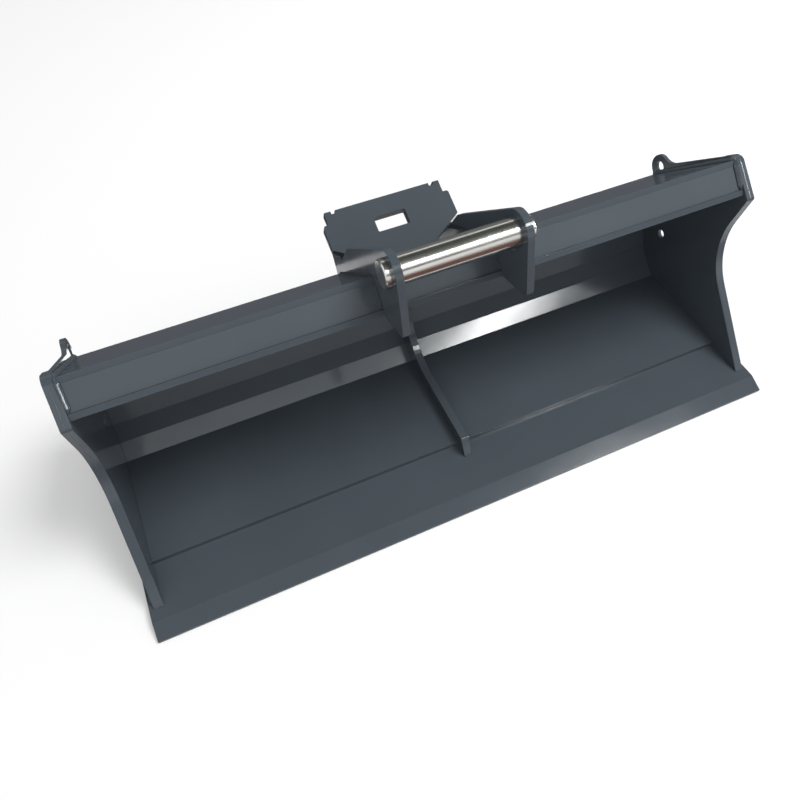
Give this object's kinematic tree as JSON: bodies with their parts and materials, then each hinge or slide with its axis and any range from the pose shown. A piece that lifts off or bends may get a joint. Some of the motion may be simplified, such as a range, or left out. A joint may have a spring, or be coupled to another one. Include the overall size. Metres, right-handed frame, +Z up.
{
  "type": "excavator grading bucket",
  "caption": "Wide welded excavator grading bucket with a bevelled cutting edge, closed torsion tube, side plates with lifting eyes and a wedge-lock coupler bracket with a bare steel pin.",
  "frame": {"origin": "middle of the coupler pin, on its axis, halfway between the two ears", "axes": "+X along the pin and the cutting edge, to the right when looking along +Y; +Y to the rear of the bucket, away from the cutting edge; +Z up, square to the ground that the bucket stands on"},
  "size_m": [1.5, 0.6109, 0.5797],
  "materials": {
    "paint": "satin slate grey powder coat",
    "pin_steel": "ground and polished",
    "zinc": "zinc plated"
  },
  "bodies": {
    "root": {"cutting_edge": "paint", "shell": "paint", "side_plate_left": "paint", "side_plate_right": "paint", "side_doubler_left": "paint", "side_doubler_right": "paint", "tube_front_plate": "paint", "tube_top_plate": "paint", "tube_closing_plate": "paint", "tube_diaphragm_left": "paint", "tube_diaphragm_right": "paint", "centre_rib": "paint", "wear_strip_left": "paint", "wear_strip_centre": "paint", "wear_strip_right": "paint", "coupler_ear_left": "paint", "coupler_ear_right": "paint", "coupler_pin": "pin_steel", "pin_keeper": "paint", "keeper_screws": "zinc", "lock_plate": "paint", "lock_gusset_left": "paint", "lock_gusset_right": "paint"}
  },
  "joints": []
}
